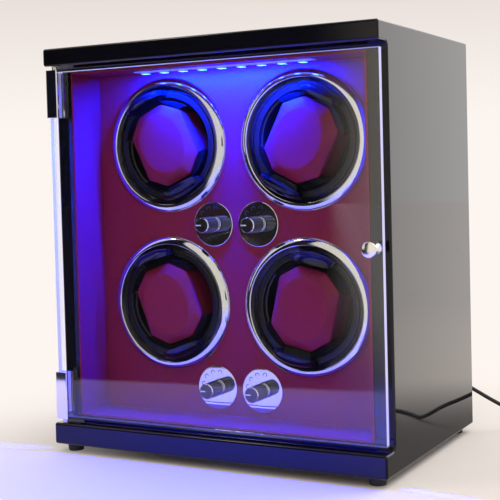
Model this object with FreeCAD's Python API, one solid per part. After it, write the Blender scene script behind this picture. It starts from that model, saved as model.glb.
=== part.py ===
import FreeCAD
import Part
import math
import os

# An upright winder box for four watches. A lacquered cabinet with a glass door holds a lined display
# space. Four round rotors turn in its fascia, each set by a small control knob on a mirror disc.
# Millimetres, Z up, X to the right and Y to the rear, with the origin under the middle of the box.

Vector = FreeCAD.Vector
X_AXIS = Vector(1, 0, 0)
Y_AXIS = Vector(0, 1, 0)
Z_AXIS = Vector(0, 0, 1)
ORIGIN = Vector(0, 0, 0)

# Fits between pieces
fit_gap = 0.1
run_gap = 0.08
swing_gap = 0.4
soft_gap = 0.3

# Cabinet boards
cabinet_width = 276.0
cabinet_depth = 184.0
cabinet_height = 304.0
side_thickness = 15.0
top_thickness = 18.0
base_thickness = 20.5
edge_radius = 2.0
end_edge_radius = 1.6

# Door recess across the front: strips of the top and base stand forward of it
recess_depth = 15.6
top_strip_height = 13.6
base_strip_height = 16.5
recess_corner_radius = 3.6

# Rear panel
rear_thickness = 5.0
rebate_width = 6.0
rear_screw_radius = 1.6
rear_screw_head_radius = 3.2
rear_screw_head_height = 1.8
rear_screw_length = 16.0
rear_screw_end_margin = 30.0
rear_screws_per_side = 3

# Feet
foot_height = 6.0
foot_radius = 6.5
foot_taper = 0.8
foot_stem_radius = 3.0
foot_stem_length = 8.0
foot_inset_x = 11.5
foot_inset_y = 11.5

# Lining and fascia
liner_thickness = 1.5
liner_proud = 1.0
fascia_setback = 34.0
fascia_thickness = 5.0

# Rotor places: two columns and two rows, with clear room round the bezels, as shares of the height inside
# where they follow it, and the angle at which each rotor stands
rotor_middle_gap = 12.5
rotor_side_gap = 11.05
rotor_row_gap = 17.6
rotor_pitch_share = 0.459134
lower_rotor_share = 0.32354
rotor_angles = {(-1, 1): -25.0, (1, 1): 27.0, (-1, 0): -20.0, (1, 0): 13.0}

# Bezel ring and the collar inside it
bezel_bead_width = 6.9
bezel_height = 4.8
bezel_inner_round = 0.9
bezel_foot_height = 0.8
bezel_spigot_wall = 0.8
bezel_spigot_depth = 3.6
collar_flange_width = 5.5
collar_flange_thickness = 2.0
collar_front_setback = 0.5
collar_bevel = 1.4

# Rotor drum
rim_inset = 10.8
rim_width = 4.8
rim_proud = 1.2
rim_depth = 5.0
rim_bevel = 0.6
cup_step_width = 1.5
cup_step_depth = 3.7
cup_wall = 2.4
cup_depth = 24.0
cup_floor = 3.0
boss_radius = 9.0
boss_length = 10.0
shaft_radius = 3.0
boss_bore_depth = 11.0

# Watch holder: an octagonal seat with walls round both ends, and a lip across each end
seat_side_room = 10.0
seat_end_room = 4.7
seat_end_half = 11.2
seat_side_half = 18.3
holder_base_thickness = 2.5
holder_front = 6.0
lip_half_width = 17.0
lip_setback = 4.1
lip_overhang = 1.1
lip_front = 9.6
lip_bevel = 3.2
lip_root_thickness = 2.2
lip_root_reach = 2.4

# Watch cushion
cushion_crown = 4.2
cushion_edge_roll = 1.6
cushion_edge_share = 0.75
cushion_slope_rise = 0.6
cushion_draw_in = 0.5
cushion_waist = 1.5
cushion_flat_share = 0.74
cushion_flat_bulge = 1.7

# Motors behind the fascia
motor_board_gap = 3.0
motor_board_thickness = 4.0
motor_board_hole_radius = 5.0
gearbox_radius = 16.0
gearbox_length = 20.0
gearbox_bore_depth = 6.0
motor_radius = 12.2
motor_length = 30.8
motor_screw_spread = 24.0
motor_screw_radius = 1.5
motor_screw_head_radius = 2.7
motor_screw_head_height = 2.0
motor_screw_bite = 6.0
wire_window_width = 24.0
wire_window_height = 150.0

# Control board
board_width = 64.0
board_height = 84.0
board_thickness = 1.6
board_post_radius = 3.5
board_post_length = 8.0
board_post_inset = 5.0
plug_row_pitch = 16.0
plug_row_size = (11.0, 6.0, 8.0)
chip_size = (16.0, 2.0, 10.0)
capacitor_radius = 5.0
capacitor_length = 11.0

# Control knobs, each on a mirror disc with a rotary switch behind the fascia
dial_spacing = 38.6
upper_dial_share = 0.49959
lower_dial_share = 0.52174
dial_plate_radius = 16.9
dial_plate_thickness = 1.2
knob_gap = 0.4
knob_length = 16.6
knob_base_radius = 6.5
knob_face_radius = 5.8
knob_neck_radius = 5.7
knob_neck_height = 2.0
knob_face_bevel = 0.7
knob_mark_width = 1.0
knob_mark_depth = 0.4
knob_bore_depth = 11.0
knob_flutes = 12
knob_flute_depth = 0.45
switch_shaft_radius = 3.0
switch_shaft_bite = 7.0
switch_radius = 12.0
switch_length = 14.0
bushing_radius = 4.5
nut_flats = 12.0
nut_thickness = 2.0
nut_recess_margin = 0.6

# Light strip under the ceiling
strip_length = 150.0
strip_width = 8.0
strip_thickness = 0.6
strip_setback = 34.0
chip_count = 9
chip_side = 5.0
chip_height = 1.4

# Door
glass_thickness = 5.0
glass_bevel = 0.4
door_setback = 2.1
door_left_inset = 3.8
door_right_inset = 0.9
door_top_gap = 4.6
door_bottom_gap = 4.9
clip_width = 10.4
clip_height = 36.0
clip_plate = 2.2
clip_side_wall = 1.2
clip_cap = 1.4
clip_edge_radius = 0.8
clip_screw_pitch = 18.0
clip_screw_radius = 1.5
clip_screw_head_radius = 2.5
clip_screw_head_height = 1.2
pin_collar_radius = 2.2
pin_radius = 1.4
pin_depth = 5.0
bush_radius = 2.4
bush_length = 7.0

# Door knob
pull_inset = 4.7
pull_height = 159.7
pull_length = 13.6
pull_base_radius = 4.3
pull_base_height = 1.2
pull_waist_radius = 2.9
pull_waist_share = 0.42
pull_face_radius = 5.3
pull_rim_height = 1.6
pull_face_bevel = 0.6
pull_screw_radius = 1.9
pull_screw_bite = 6.0
pull_screw_head_radius = 3.4
pull_screw_head_height = 1.6

# Power socket and the angled plug in it
jack_inset = 58.0
jack_rise = 13.0
jack_radius = 4.6
jack_bore_radius = 3.0
jack_bore_depth = 10.0
jack_pin_radius = 1.0
jack_body = (15.0, 12.0, 11.0)
plug_barrel_radius = 2.75
plug_barrel_bore = 1.25
plug_barrel_length = 9.0
plug_neck_radius = 4.5
plug_body_length = 15.0
plug_body_depth = 13.0
plug_body_height = 10.4
plug_body_overhang = 6.0
plug_edge_radius = 1.5
relief_root_radius = 3.4
relief_tip_share = 1.25

# Power lead
cord_radius = 1.6
bend_reach_share = 0.45
coil_turn_gap = 0.5
coil_first_radius = 24.5
coil_inner_half_turns = 7
coil_outer_half_turns = 8
tie_thickness = 0.8
tie_width = 6.0
tie_gap = 0.3
tie_inner_gap = 0.8
tail_length = 24.0
far_plug_width = 15.6
far_plug_height = 9.0
far_plug_length = 26.0
far_plug_edge_radius = 2.0
far_shell_width = 12.0
far_shell_height = 4.5
far_shell_length = 18.7
far_shell_wall = 0.4

# Places worked out from the sizes above
total_height = foot_height + cabinet_height
pull_reach = pull_length - door_setback
rear_y = (cabinet_depth + pull_reach) / 2
front_y = rear_y - cabinet_depth
recess_y = front_y + recess_depth
fascia_y = recess_y + fascia_setback
inner_half = cabinet_width / 2 - side_thickness
base_top = foot_height + base_thickness
top_under = total_height - top_thickness
recess_bottom = foot_height + base_strip_height
recess_top = total_height - top_strip_height
lining_half = inner_half - liner_thickness
inner_height = top_under - base_top
column_radius = (lining_half - rotor_side_gap - rotor_middle_gap / 2) / 2
rotor_spacing = 2 * column_radius + rotor_middle_gap
rotor_pitch = inner_height * rotor_pitch_share
bezel_radius = min(column_radius, (rotor_pitch - rotor_row_gap) / 2)
rim_radius = bezel_radius - rim_inset
bead_radius = bezel_radius - bezel_bead_width
fascia_hole_radius = bead_radius + bezel_spigot_wall + fit_gap
collar_radius = rim_radius + swing_gap
cup_radius = rim_radius - rim_width
cup_step_radius = cup_radius - cup_step_width
seat_half_width = cup_step_radius - seat_side_room
seat_half_length = cup_step_radius - seat_end_room
lip_inner_reach = seat_half_length + lip_setback
lip_outer_radius = rim_radius + lip_overhang
drum_back = cup_depth + cup_floor + boss_length
motor_board_y = fascia_y + drum_back + motor_board_gap
gearbox_y = motor_board_y + motor_board_thickness
lower_rotor_z = base_top + inner_height * lower_rotor_share
glass_left = -cabinet_width / 2 + door_left_inset
glass_right = cabinet_width / 2 - door_right_inset
glass_bottom = recess_bottom + door_bottom_gap
glass_top = recess_top - door_top_gap
glass_front = front_y + door_setback
glass_back = glass_front + glass_thickness
clip_left = glass_left - fit_gap - clip_side_wall
hinge_x = clip_left + clip_width / 2
hinge_y = (glass_front + glass_back) / 2
pull_x = glass_right - pull_inset
jack_x = cabinet_width / 2 - jack_inset
jack_z = base_top + jack_rise
PLACES = [(-1, 1), (1, 1), (-1, 0), (1, 0)]

# Where the lead runs: from the angled plug down to the table on the right, round to the coil beside
# the cabinet. The turns of the coil and the tail follow from its middle and its first radius.
cord_points = [
    (108.0, 106.8, 39.5),
    (119.0, 106.8, 39.5),
    (134.0, 109.0, 32.0),
    (151.0, 110.2, 22.6),
    (168.0, 111.2, 15.0),
    (181.0, 113.0, 6.6),
    (190.0, 117.3, 2.0),
    (198.5, 126.3, 1.7),
    (210.0, 134.8, 1.7),
    (224.0, 140.4, 1.7),
    (239.0, 141.2, 1.7),
    (251.0, 134.3, 1.7),
    (255.3, 121.8, 1.9),
    (256.5, 106.3, 2.8),
    (256.5, 91.0, 2.8),
]
coil_middle = (232.0, 87.8)


def block(x0, x1, y0, y1, z0, z1):
    """A box between two corners."""
    return Part.makeBox(x1 - x0, y1 - y0, z1 - z0, Vector(x0, y0, z0))


def slab(middle, size):
    """A box about its middle."""
    return Part.makeBox(size.x, size.y, size.z, middle - size * 0.5)


def rod(x, z, y0, y1, radius):
    """A round bar along Y."""
    return Part.makeCylinder(radius, y1 - y0, Vector(x, y0, z), Y_AXIS)


def post(x, y, z0, z1, radius):
    """A round bar along Z."""
    return Part.makeCylinder(radius, z1 - z0, Vector(x, y, z0), Z_AXIS)


def outline(start, *steps):
    """A closed wire of (a, b) pairs: one pair ends a line, two pairs are the middle and end of an arc."""
    edges = []
    here = Vector(*start, 0)
    for step in steps:
        if isinstance(step[0], tuple):
            there = Vector(*step[1], 0)
            edges.append(Part.Arc(here, Vector(*step[0], 0), there).toShape())
        else:
            there = Vector(*step, 0)
            edges.append(Part.makeLine(here, there))
        here = there
    edges.append(Part.makeLine(here, Vector(*start, 0)))
    return Part.Wire(edges)


def turned(wire, x=0.0, y=0.0, z=0.0):
    """A wire of (radius, depth) pairs turned about an axis along Y, which is then set at x, y, z."""
    solid = Part.Face(wire).revolve(ORIGIN, Y_AXIS, 360)
    solid.translate(Vector(x, y, z))
    return solid


def rounded_outline(corners, place):
    """A closed wire through (a, b, radius) corners, each rounded by an arc, laid out by place(a, b)."""
    arcs = []
    for i, (a, b, radius) in enumerate(corners):
        here = Vector(a, b, 0)
        before = Vector(*corners[i - 1][:2], 0) - here
        after = Vector(*corners[(i + 1) % len(corners)][:2], 0) - here
        before.normalize()
        after.normalize()
        half = before.getAngle(after) / 2
        reach = radius / math.tan(half)
        inward = before + after
        inward.normalize()
        middle = here + inward * (radius / math.sin(half) - radius)
        arcs.append([here + before * reach, middle, here + after * reach])
    edges = []
    for i, arc in enumerate(arcs):
        start, middle, stop = [place(p.x, p.y) for p in arc]
        following = arcs[(i + 1) % len(arcs)][0]
        edges.append(Part.Arc(start, middle, stop).toShape())
        edges.append(Part.makeLine(stop, place(following.x, following.y)))
    return Part.Wire(edges)


def edges_where(solid, test):
    """The edges of a solid whose end points all pass a test."""
    return [e for e in solid.Edges if all(test(v.Point) for v in e.Vertexes)]


def joined(first, *others):
    """Solids fused into one, with the seams between flush faces removed."""
    return first.multiFuse(list(others)).removeSplitter()


def save(name, *solids):
    """Writes one node, a single solid or a group of like solids."""
    shape = solids[0] if len(solids) == 1 else Part.makeCompound(list(solids))
    for solid in shape.Solids:
        if not solid.isValid() or solid.Volume <= 0:
            print("not sound:", name)
    shape.exportStep(f"parts/{name}.step")
    print(f"{name}: {len(shape.Solids)} solids, {shape.Volume:.0f} mm3")


def carcass():
    """The four lacquered boards as one form: a recessed outline drawn across the width and hollowed out."""
    corners = [
        (front_y, foot_height, edge_radius),
        (rear_y, foot_height, edge_radius),
        (rear_y, total_height, edge_radius),
        (front_y, total_height, edge_radius),
        (front_y, recess_top, edge_radius),
        (recess_y, recess_top, recess_corner_radius),
        (recess_y, recess_bottom, recess_corner_radius),
        (front_y, recess_bottom, edge_radius),
    ]
    half = cabinet_width / 2
    wire = rounded_outline(corners, lambda y, z: Vector(-half, y, z))
    form = Part.Face(wire).extrude(Vector(cabinet_width, 0, 0))
    right_end = edges_where(form, lambda p: p.x > half - fit_gap)
    left_end = edges_where(form, lambda p: p.x < fit_gap - half)
    form = form.makeFillet(end_edge_radius, right_end + left_end)
    space = block(-inner_half, inner_half, front_y, rear_y, base_top, top_under)
    rebate = block(
        -inner_half - rebate_width,
        inner_half + rebate_width,
        rear_y - rear_thickness,
        rear_y,
        base_top - rebate_width,
        top_under + rebate_width,
    )
    return form.cut(space).cut(rebate)


def foot_places():
    """The middles of the four feet."""
    x = cabinet_width / 2 - foot_inset_x
    return [(sx * x, y) for sx in (-1, 1) for y in (front_y + foot_inset_y, rear_y - foot_inset_y)]


def rear_screw_places():
    """The middles of the rear panel's screws, in the rebate of each side board."""
    x = inner_half + rebate_width / 2
    low = base_top + rear_screw_end_margin
    step = (top_under - rear_screw_end_margin - low) / (rear_screws_per_side - 1)
    return [(sx * x, low + i * step) for sx in (-1, 1) for i in range(rear_screws_per_side)]


def rear_screw(x, z, gap=0.0):
    """A countersunk screw, or with a gap the hole that takes it."""
    head = rear_screw_head_radius + gap
    shank = rear_screw_radius + gap
    wire = outline(
        (0, 0),
        (head, 0),
        (shank, -rear_screw_head_height - gap),
        (shank, -rear_screw_length - gap),
        (0, -rear_screw_length - gap),
    )
    return turned(wire, x, rear_y, z)


def make_cabinet():
    """Boards, rear panel with its screws, and feet."""
    form = carcass()
    stem_top = foot_height + foot_stem_length
    for x, y in foot_places():
        form = form.cut(post(x, y, foot_height, stem_top + fit_gap, foot_stem_radius + fit_gap))
    for z0, z1 in hinge_bush_spans():
        form = form.cut(post(hinge_x, hinge_y, z0, z1, bush_radius + fit_gap))
    for x, z in rear_screw_places():
        form = form.cut(rear_screw(x, z, fit_gap))
    half = cabinet_width / 2
    save("top_panel", form.common(block(-half, half, front_y, rear_y, top_under, total_height)))
    save("base_panel", form.common(block(-half, half, front_y, rear_y, foot_height, base_top)))
    save("left_side_panel", form.common(block(-half, -inner_half, front_y, rear_y, base_top, top_under)))
    save("right_side_panel", form.common(block(inner_half, half, front_y, rear_y, base_top, top_under)))

    panel_half = inner_half + rebate_width - fit_gap
    panel = block(
        -panel_half,
        panel_half,
        rear_y - rear_thickness,
        rear_y,
        base_top - rebate_width + fit_gap,
        top_under + rebate_width - fit_gap,
    )
    for x, z in rear_screw_places():
        panel = panel.cut(rear_screw(x, z, fit_gap))
    panel = panel.cut(rod(jack_x, jack_z, rear_y - rear_thickness, rear_y, jack_radius + fit_gap))
    save("rear_panel", panel)
    save("rear_panel_screws", *[rear_screw(x, z) for x, z in rear_screw_places()])

    feet = []
    for x, y in foot_places():
        pad = Part.makeCone(foot_radius - foot_taper, foot_radius, foot_height, Vector(x, y, 0), Z_AXIS)
        stem = post(x, y, foot_height, stem_top, foot_stem_radius)
        feet.append(joined(pad, stem))
    save("feet", *feet)


def make_lining():
    """Thin boards covered like the fascia, on the ceiling, floor and walls of the display space."""
    front = recess_y - liner_proud
    low = base_top + liner_thickness
    high = top_under - liner_thickness
    save("liner_top", block(-inner_half, inner_half, front, fascia_y, high, top_under))
    save("liner_bottom", block(-inner_half, inner_half, front, fascia_y, base_top, low))
    save(
        "liner_sides",
        block(-inner_half, -lining_half, front, fascia_y, low, high),
        block(lining_half, inner_half, front, fascia_y, low, high),
    )
    strip_y = front_y + strip_setback
    strip_middle = Vector(0, strip_y, high - strip_thickness / 2)
    save("light_strip", slab(strip_middle, Vector(strip_length, strip_width, strip_thickness)))
    chip_z = high - strip_thickness - chip_height / 2
    chip_pitch = strip_length / chip_count
    chips = []
    for i in range(chip_count):
        x = (i - (chip_count - 1) / 2) * chip_pitch
        chips.append(slab(Vector(x, strip_y, chip_z), Vector(chip_side, chip_side, chip_height)))
    save("light_chips", *chips)


def rotor_place(column, row):
    """The middle of a rotor, for a column of -1 or 1 and a row of 0 or 1."""
    return column * rotor_spacing / 2, lower_rotor_z + row * rotor_pitch


def dial_place(column, row):
    """The middle of the control knob that belongs to a rotor."""
    share = upper_dial_share if row else lower_dial_share
    return column * dial_spacing / 2, rotor_place(column, row)[1] - rotor_pitch * share


def bezel_ring(x, z):
    """A chrome ring that domes up from its outer foot to a rounded inner edge, with a spigot in the fascia."""
    spigot = bead_radius + bezel_spigot_wall
    crest = bead_radius + bezel_inner_round
    run = bezel_radius - crest
    rise = bezel_height - bezel_foot_height
    dome = (run**2 + rise**2) / (2 * rise)
    half = math.asin(run / dome) / 2
    dome_middle = (crest + dome * math.sin(half), dome * (1 - math.cos(half)) - bezel_height)
    tuck = bezel_inner_round * (1 - math.cos(math.pi / 4))
    round_middle = (bead_radius + tuck, tuck - bezel_height)
    wire = outline(
        (spigot, 0),
        (bezel_radius, 0),
        (bezel_radius, -bezel_foot_height),
        (dome_middle, (crest, -bezel_height)),
        (round_middle, (bead_radius, bezel_inner_round - bezel_height)),
        (bead_radius, bezel_spigot_depth),
        (spigot, bezel_spigot_depth),
    )
    return turned(wire, x, fascia_y, z)


def rotor_collar(x, z):
    """A black ring that fills the gap between bezel and rotor, with a flange behind the fascia."""
    outer = bead_radius - fit_gap
    flange = fascia_hole_radius + collar_flange_width
    back = fascia_thickness + collar_flange_thickness
    wire = outline(
        (collar_radius, -collar_front_setback),
        (outer, collar_bevel - collar_front_setback),
        (outer, fascia_thickness),
        (flange, fascia_thickness),
        (flange, back),
        (collar_radius, back),
    )
    return turned(wire, x, fascia_y, z)


def make_fascia():
    """The fascia board with its openings, the chrome rings and the collars in them."""
    board = block(-inner_half, inner_half, fascia_y, fascia_y + fascia_thickness, base_top, top_under)
    back = fascia_y + fascia_thickness
    for place in PLACES:
        x, z = rotor_place(*place)
        board = board.cut(rod(x, z, fascia_y, back, fascia_hole_radius))
        x, z = dial_place(*place)
        board = board.cut(rod(x, z, fascia_y, back, bushing_radius + fit_gap))
        nut_recess = nut_thickness + 2 * fit_gap
        nut_reach = nut_flats / math.sqrt(3) + nut_recess_margin
        board = board.cut(rod(x, z, fascia_y, fascia_y + nut_recess, nut_reach))
    save("fascia_board", board)
    save("bezel_rings", *[bezel_ring(*rotor_place(*p)) for p in PLACES])
    save("rotor_collars", *[rotor_collar(*rotor_place(*p)) for p in PLACES])


def rotor_drum():
    """A deep cup with a broad flat rim, a step inside the mouth and a boss for the shaft behind."""
    wall = cup_step_radius + cup_wall
    bore = shaft_radius + fit_gap / 2
    bore_end = drum_back - boss_bore_depth
    wire = outline(
        (0, cup_depth),
        (cup_step_radius, cup_depth),
        (cup_step_radius, cup_step_depth - rim_proud),
        (cup_radius, cup_step_depth - rim_proud),
        (cup_radius, -rim_proud),
        (rim_radius - rim_bevel, -rim_proud),
        (rim_radius, rim_bevel - rim_proud),
        (rim_radius, rim_depth),
        (wall, rim_depth + rim_radius - wall),
        (wall, cup_depth + cup_floor),
        (boss_radius, cup_depth + cup_floor),
        (boss_radius, drum_back),
        (bore, drum_back),
        (bore, bore_end),
        (0, bore_end),
    )
    return turned(wire)


def seat_corners():
    """The eight corners of the watch holder's seat, across and along, going round."""
    quarter = [(seat_end_half, seat_half_length), (seat_half_width, seat_side_half)]
    right = quarter + [(u, -v) for u, v in reversed(quarter)]
    return right + [(-u, -v) for u, v in right]


def watch_holder():
    """A round base, octagonal walls round both ends of the seat, and a lip across each end."""
    radius = cup_step_radius - soft_gap
    seat_floor = cup_depth - holder_base_thickness
    body = rod(0, 0, -holder_front, cup_depth, radius)
    grow = (seat_half_width + soft_gap) / seat_half_width
    ring = [Vector(u * grow, -holder_front, v * grow) for u, v in seat_corners()]
    seat = Part.Face(Part.makePolygon(ring + ring[:1])).extrude(Vector(0, seat_floor + holder_front, 0))
    body = body.cut(seat)
    body = body.cut(block(-radius, radius, -holder_front, seat_floor, -seat_side_half, seat_side_half))
    lip_back = -rim_proud - soft_gap
    root_front = lip_back - lip_root_thickness
    slot_half = seat_end_half + soft_gap
    lip_disc = turned(
        outline(
            (0, -lip_front),
            (lip_outer_radius - lip_bevel, -lip_front),
            (lip_outer_radius, lip_bevel - lip_front),
            (lip_outer_radius, lip_back),
            (0, lip_back),
        )
    )
    for side in (-1, 1):
        inner = side * seat_half_length
        outer = side * (lip_outer_radius + soft_gap)
        low, high = sorted((inner, outer))
        body = body.cut(block(-slot_half, slot_half, -holder_front, root_front, low, high))
    root_size = Vector(2 * seat_end_half, lip_root_thickness, 2 * lip_root_reach)
    for side in (-1, 1):
        low, high = sorted((side * lip_inner_reach, side * (lip_outer_radius + soft_gap)))
        lip = lip_disc.common(block(-lip_half_width, lip_half_width, -lip_front, lip_back, low, high))
        root = slab(Vector(0, (root_front + lip_back) / 2, side * lip_inner_reach), root_size)
        body = joined(body, lip, root)
    return body


def cushion_ring(share, bulge, depth):
    """One closed outline of the cushion: eight shallow arcs, drawn in or swelling out by bulge."""
    corners = [Vector(u * share, depth, v * share) for u, v in seat_corners()]
    edges = []
    for i, here in enumerate(corners):
        there = corners[(i + 1) % len(corners)]
        middle = (here + there) * 0.5
        outward = Vector(middle.x, 0, middle.z)
        outward.normalize()
        edges.append(Part.Arc(here, middle + outward * bulge, there).toShape())
    return Part.Wire(edges)


def watch_cushion():
    """A padded block with drawn-in sides and a crowned front, flat and oval in the middle."""
    back = cup_depth - holder_base_thickness - soft_gap
    waist = 1 - cushion_waist / seat_half_width
    middle = (back - holder_front) / 2
    slope_share = (1 + cushion_flat_share) / 2
    edge_share = cushion_edge_share + (1 - cushion_edge_share) * slope_share
    rings = [
        cushion_ring((1 + waist) / 2, -cushion_draw_in, back),
        cushion_ring(waist, -cushion_draw_in, middle),
        cushion_ring(1, -cushion_draw_in, cushion_edge_roll - holder_front),
        cushion_ring(edge_share, -cushion_draw_in / 2, -holder_front),
        cushion_ring(slope_share, cushion_flat_bulge / 2, -holder_front - cushion_crown * cushion_slope_rise),
        cushion_ring(cushion_flat_share, cushion_flat_bulge, -holder_front - cushion_crown),
    ]
    return Part.makeLoft(rings, True, True)


def make_rotors():
    """Each rotor's drum, holder, cushion and drive shaft, turned to the angle at which it stands."""
    pieces = {
        "rotor_drum": rotor_drum(),
        "watch_holder": watch_holder(),
        "watch_cushion": watch_cushion(),
        "drive_shaft": rod(
            0,
            0,
            drum_back - boss_bore_depth,
            gearbox_y - fascia_y + gearbox_bore_depth - swing_gap,
            shaft_radius,
        ),
    }
    for number, place in enumerate(PLACES, 1):
        x, z = rotor_place(*place)
        for name, piece in pieces.items():
            solid = piece.copy()
            solid.rotate(ORIGIN, Y_AXIS, rotor_angles[place])
            solid.translate(Vector(x, fascia_y, z))
            save(f"{name}_{number}", solid)


def motor_screw_places():
    """The middles of the screws that hold the gearboxes, two beside each shaft."""
    spread = motor_screw_spread / 2
    return [(rotor_place(*p)[0] + side * spread, rotor_place(*p)[1]) for p in PLACES for side in (-1, 1)]


def make_drive():
    """The board behind the drums with its four geared motors, and the control board on its posts."""
    middle_z = lower_rotor_z + rotor_pitch / 2
    board = block(-inner_half, inner_half, motor_board_y, gearbox_y, base_top, top_under)
    board_middle = Vector(0, (motor_board_y + gearbox_y) / 2, middle_z)
    window_size = Vector(wire_window_width, motor_board_thickness, wire_window_height)
    board = board.cut(slab(board_middle, window_size))
    gearboxes = []
    motors = []
    for place in PLACES:
        x, z = rotor_place(*place)
        board = board.cut(rod(x, z, motor_board_y, gearbox_y, motor_board_hole_radius))
        motor_y = gearbox_y + gearbox_length
        bore = rod(x, z, gearbox_y, gearbox_y + gearbox_bore_depth, shaft_radius + run_gap)
        gearboxes.append(rod(x, z, gearbox_y, motor_y, gearbox_radius).cut(bore))
        motors.append(rod(x, z, motor_y, motor_y + motor_length, motor_radius))
    screws = []
    for i, (x, z) in enumerate(motor_screw_places()):
        end = gearbox_y + motor_screw_bite
        hole = rod(x, z, motor_board_y, end + fit_gap, motor_screw_radius + fit_gap)
        board = board.cut(hole)
        gearboxes[i // 2] = gearboxes[i // 2].cut(hole)
        head = rod(x, z, motor_board_y - motor_screw_head_height, motor_board_y, motor_screw_head_radius)
        screws.append(joined(head, rod(x, z, motor_board_y, end, motor_screw_radius)))
    post_x = board_width / 2 - board_post_inset
    post_z = board_height / 2 - board_post_inset
    board_y = gearbox_y + board_post_length
    for x in (-post_x, post_x):
        for z in (middle_z - post_z, middle_z + post_z):
            board = board.fuse(rod(x, z, gearbox_y, board_y, board_post_radius))
    save("motor_board", board.removeSplitter())
    save("gearboxes", *gearboxes)
    save("motor_cans", *motors)
    save("motor_screws", *screws)

    back = board_y + board_thickness
    sheet_middle = Vector(0, board_y + board_thickness / 2, middle_z)
    sheet = slab(sheet_middle, Vector(board_width, board_thickness, board_height))
    fitted = []
    for i in range(4):
        z = middle_z + (i - 1.5) * plug_row_pitch
        x = board_width / 2 - board_post_inset - plug_row_size[0]
        fitted.append(Part.makeBox(*plug_row_size, Vector(x, back, z - plug_row_size[2] / 2)))
    fitted.append(Part.makeBox(*chip_size, Vector(-chip_size[0] / 2, back, middle_z - chip_size[2] / 2)))
    capacitor_x = board_post_inset + capacitor_radius - board_width / 2
    fitted.append(rod(capacitor_x, middle_z, back, back + capacitor_length, capacitor_radius))
    save("control_board", sheet, *fitted)


def control_knob():
    """A tapered knob with a neck, shallow flutes and a cut mark on its face, pointing to the left."""
    base = -dial_plate_thickness - knob_gap
    face = base - knob_length
    neck = base - knob_neck_height
    grip_radius = knob_base_radius - knob_flute_depth
    wire = outline(
        (0, base),
        (knob_neck_radius, base),
        (knob_neck_radius, neck),
        (grip_radius, neck - knob_flute_depth),
        (knob_face_radius, face + knob_face_bevel),
        (knob_face_radius - knob_face_bevel, face),
        (0, face),
    )
    knob = turned(wire)
    start = Vector(grip_radius, neck - 2 * knob_flute_depth, 0)
    stop = Vector(knob_face_radius, face, 0)
    for i in range(knob_flutes):
        flute = Part.makeCylinder(knob_flute_depth, (stop - start).Length, start, stop - start)
        flute.rotate(ORIGIN, Y_AXIS, 360 * (i + 0.5) / knob_flutes)
        knob = knob.cut(flute)
    half_mark = knob_mark_width / 2
    knob = knob.cut(block(-knob_face_radius, 0, face, face + knob_mark_depth, -half_mark, half_mark))
    return knob.cut(rod(0, 0, base - knob_bore_depth, base, switch_shaft_radius + fit_gap / 2))


def switch_nut(x, z):
    """The hexagon nut that holds a switch's bushing in the fascia."""
    corner = nut_flats / math.sqrt(3)
    front = fascia_y + 2 * fit_gap
    angles = [math.radians(60 * k) for k in range(6)]
    ring = [Vector(x + corner * math.cos(a), front, z + corner * math.sin(a)) for a in angles]
    nut = Part.Face(Part.makePolygon(ring + ring[:1])).extrude(Vector(0, nut_thickness, 0))
    return nut.cut(rod(x, z, fascia_y, fascia_y + fascia_thickness, bushing_radius + fit_gap / 2))


def make_dials():
    """Mirror discs, rotary switches and their nuts on the fascia, and the knobs with their shafts."""
    plates = []
    switches = []
    nuts = []
    plate_y = fascia_y - dial_plate_thickness
    body_y = fascia_y + fascia_thickness
    for number, place in enumerate(PLACES, 1):
        x, z = dial_place(*place)
        plate = rod(x, z, plate_y, fascia_y, dial_plate_radius)
        plates.append(plate.cut(rod(x, z, plate_y, fascia_y, switch_shaft_radius + swing_gap)))
        body = rod(x, z, body_y, body_y + switch_length, switch_radius)
        body = joined(body, rod(x, z, fascia_y, body_y, bushing_radius))
        bore = rod(x, z, fascia_y, body_y + switch_shaft_bite, switch_shaft_radius + run_gap)
        switches.append(body.cut(bore))
        nuts.append(switch_nut(x, z))
        knob = control_knob()
        knob.translate(Vector(x, fascia_y, z))
        save(f"control_knob_{number}", knob)
        shaft_front = plate_y - knob_gap - knob_bore_depth
        shaft_back = body_y + switch_shaft_bite - swing_gap
        save(f"switch_shaft_{number}", rod(x, z, shaft_front, shaft_back, switch_shaft_radius))
    save("dial_plates", *plates)
    save("rotary_switches", *switches)
    save("switch_nuts", *nuts)


def hinge_bush_spans():
    """The heights between which the upper and lower hinge bushes lie in the front strips."""
    return [(recess_top, recess_top + bush_length), (recess_bottom - bush_length, recess_bottom)]


def hinge_bush(z0, z1, open_at):
    """A plain bush with a blind bore for the hinge pin, open at one end."""
    bore = pin_radius + run_gap
    deep = pin_depth + swing_gap
    low = open_at if open_at == z0 else open_at - deep
    return post(hinge_x, hinge_y, z0, z1, bush_radius).cut(post(hinge_x, hinge_y, low, low + deep, bore))


def hinge_clip(z0, z1, cap_at_top):
    """A folded clip over the edge of the glass: two plates, a side wall and a cap that carries the pin."""
    front = glass_front - fit_gap - clip_plate
    back = glass_back + fit_gap + clip_plate
    corners = [
        (clip_left, front, clip_edge_radius),
        (clip_left + clip_width, front, clip_edge_radius),
        (clip_left + clip_width, back, clip_edge_radius),
        (clip_left, back, clip_edge_radius),
    ]
    wire = rounded_outline(corners, lambda x, y: Vector(x, y, z0))
    clip = Part.Face(wire).extrude(Vector(0, 0, z1 - z0))
    low, high = (z0, z1 - clip_cap) if cap_at_top else (z0 + clip_cap, z1)
    slot = block(glass_left - fit_gap, glass_right, glass_front - fit_gap, glass_back + fit_gap, low, high)
    clip = clip.cut(slot)
    return clip.cut(post(hinge_x, hinge_y, z0, z1, pin_radius + fit_gap))


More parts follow.
